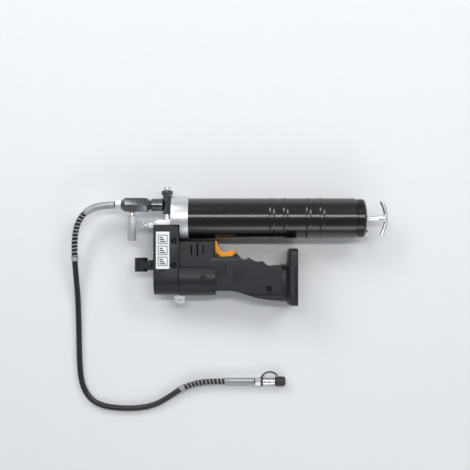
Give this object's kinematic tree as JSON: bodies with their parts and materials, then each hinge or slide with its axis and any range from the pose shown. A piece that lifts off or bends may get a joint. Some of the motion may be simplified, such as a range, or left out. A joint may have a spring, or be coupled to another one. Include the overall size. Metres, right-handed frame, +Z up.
{
  "type": "cordless grease gun",
  "caption": "Battery grease gun: cartridge barrel with bow-handled follower rod, geared piston pump, pistol grip with trigger, outlet block with valves and a sprung-guard hose.",
  "frame": {"origin": "centre of the bounding box of the gun without its hose, on the surface it lies on", "axes": "+X along the barrel towards the T-handle, +Y from the grip up to the barrel, +Z up"},
  "size_m": [0.4524, 0.3232, 0.0634],
  "materials": {
    "cast_aluminium": "satin sand-cast, machined collar",
    "black_enamel": "gloss black enamel",
    "bright_chrome": "bright plated",
    "dark_plated_steel": "dark nickel plated",
    "zinc_steel": "zinc plated",
    "machined_steel": "ground and oiled",
    "spring_steel": "drawn wire",
    "copper": "soft copper",
    "brass": "turned",
    "bronze": "sintered bronze",
    "black_plastic": "fine spark-eroded texture",
    "grey_plastic": "plain moulded",
    "amber_plastic": "semi-gloss moulded",
    "nitrile_rubber": "moulded",
    "hose_rubber": "smooth extruded cover",
    "label_film": "printed film",
    "motor_laminate": "stacked laminations",
    "ferrite": "sintered magnet"
  },
  "bodies": {
    "gun": {"head_casting": "cast_aluminium", "pump_sleeve": "machined_steel", "outlet_fitting": "dark_plated_steel", "check_spring": "spring_steel", "outlet_plug": "bright_chrome", "outlet_adapter": "dark_plated_steel", "outlet_block": "dark_plated_steel", "relief_washer": "copper", "relief_body": "zinc_steel", "relief_spring": "spring_steel", "bleeder_body": "bright_chrome", "gear_housing_near": "black_plastic", "gear_housing_far": "black_plastic", "label": "label_film", "handle_shell_near": "black_plastic", "handle_shell_far": "black_plastic", "housing_screws": "dark_plated_steel", "battery_dock": "black_plastic", "dock_rails": "dark_plated_steel", "terminal_block": "grey_plastic", "dock_terminals": "brass", "trigger_spring": "spring_steel", "switch_body": "grey_plastic", "ring_gear": "machined_steel", "bearing_plate": "bronze", "motor_can": "zinc_steel", "motor_magnets": "ferrite", "motor_brush_end": "grey_plastic", "hose_clip": "dark_plated_steel", "strap_eye": "zinc_steel", "hose": "hose_rubber", "hose_guard_gun": "spring_steel", "hose_guard_coupler": "spring_steel", "hose_nut": "bright_chrome", "coupler_nut": "bright_chrome", "coupler_body": "bright_chrome", "coupler_jaws": "machined_steel", "cap_tether": "nitrile_rubber"},
    "barrel_seal": {"head_gasket": "nitrile_rubber"},
    "barrel": {"barrel_tube": "black_enamel", "end_cap": "black_enamel", "follower_spring": "spring_steel"},
    "rod_latch": {"rod_latch": "bright_chrome"},
    "follower": {"follower_rod": "bright_chrome", "plunger_plates": "zinc_steel", "plunger_cup": "nitrile_rubber", "t_handle": "bright_chrome"},
    "pump_piston": {"pump_piston": "machined_steel"},
    "check_ball": {"check_ball": "machined_steel"},
    "relief_poppet": {"relief_poppet": "machined_steel"},
    "bleeder": {"bleeder_stem": "bright_chrome"},
    "trigger": {"trigger": "amber_plastic"},
    "rotor": {"motor_shaft": "machined_steel", "armature": "motor_laminate", "motor_fan": "grey_plastic"},
    "carrier": {"planet_carrier": "machined_steel"},
    "planet_1": {"planet_gear_1": "machined_steel"},
    "planet_2": {"planet_gear_2": "machined_steel"},
    "planet_3": {"planet_gear_3": "machined_steel"},
    "dust_cap": {"dust_cap": "nitrile_rubber"}
  },
  "joints": [
    {"name": "barrel_draw", "type": "slide", "parent": "gun", "child": "barrel_seal", "axis": [1, 0, 0], "range_m": [0, 0.0075]},
    {"name": "barrel_turn", "type": "hinge", "parent": "barrel_seal", "child": "barrel", "pos_m": [-0.0933, 0.03895, 0.0315], "axis": [1, 0, 0], "range_deg": [0, 1800]},
    {"name": "rod_slide", "type": "slide", "parent": "barrel", "child": "follower", "axis": [1, 0, 0], "range_m": [0, 0.185], "deforming": ["follower_spring"]},
    {"name": "latch_tilt", "type": "hinge", "parent": "barrel", "child": "rod_latch", "pos_m": [0.1582, 0.02055, 0.0315], "axis": [0, 0, 1], "range_deg": [0, 25], "stiffness_Nm_per_rad": 0.02},
    {"name": "piston_stroke", "type": "slide", "parent": "gun", "child": "pump_piston", "axis": [0, 1, 0], "range_m": [-0.006, 0.006]},
    {"name": "check_ball_lift", "type": "slide", "parent": "gun", "child": "check_ball", "axis": [0, 1, 0], "range_m": [0, 0.002], "stiffness_N_per_m": 60, "springref_m": -0.001, "deforming": ["check_spring"]},
    {"name": "relief_poppet_lift", "type": "slide", "parent": "gun", "child": "relief_poppet", "axis": [0, -1, 0], "range_m": [0, 0.002], "stiffness_N_per_m": 200, "springref_m": -0.001, "deforming": ["relief_spring"]},
    {"name": "bleeder_turn", "type": "hinge", "parent": "gun", "child": "bleeder", "pos_m": [-0.1533, 0.02905, 0.0315], "axis": [-1, 0, 0], "range_deg": [0, 720]},
    {"name": "trigger_pull", "type": "slide", "parent": "gun", "child": "trigger", "axis": [0, -1, 0], "range_m": [0, 0.006], "stiffness_N_per_m": 500, "springref_m": -0.002, "deforming": ["trigger_spring"]},
    {"name": "motor_spin", "type": "hinge", "parent": "gun", "child": "rotor", "pos_m": [-0.0933, -0.04605, 0.0315], "axis": [1, 0, 0], "continuous": true},
    {"name": "carrier_spin", "type": "hinge", "parent": "gun", "child": "carrier", "pos_m": [-0.0933, -0.04605, 0.0315], "axis": [1, 0, 0], "continuous": true},
    {"name": "planet_1_spin", "type": "hinge", "parent": "carrier", "child": "planet_1", "pos_m": [-0.1053, -0.03489, 0.0315], "axis": [1, 0, 0], "continuous": true},
    {"name": "planet_2_spin", "type": "hinge", "parent": "carrier", "child": "planet_2", "pos_m": [-0.1053, -0.05163, 0.04117], "axis": [1, 0, 0], "continuous": true},
    {"name": "planet_3_spin", "type": "hinge", "parent": "carrier", "child": "planet_3", "pos_m": [-0.1053, -0.05163, 0.02184], "axis": [1, 0, 0], "continuous": true},
    {"name": "dust_cap_pull", "type": "slide", "parent": "gun", "child": "dust_cap", "axis": [1, 0, 0], "range_m": [0, 0.012]}
  ],
  "couplings": [
    {"joint": "barrel_draw", "follows": "barrel_turn", "m_per_rad": 0.00023873},
    {"joint": "carrier_spin", "follows": "motor_spin", "ratio": 0.16667},
    {"joint": "planet_1_spin", "follows": "motor_spin", "ratio": -0.41667},
    {"joint": "planet_2_spin", "follows": "motor_spin", "ratio": -0.41667},
    {"joint": "planet_3_spin", "follows": "motor_spin", "ratio": -0.41667}
  ]
}
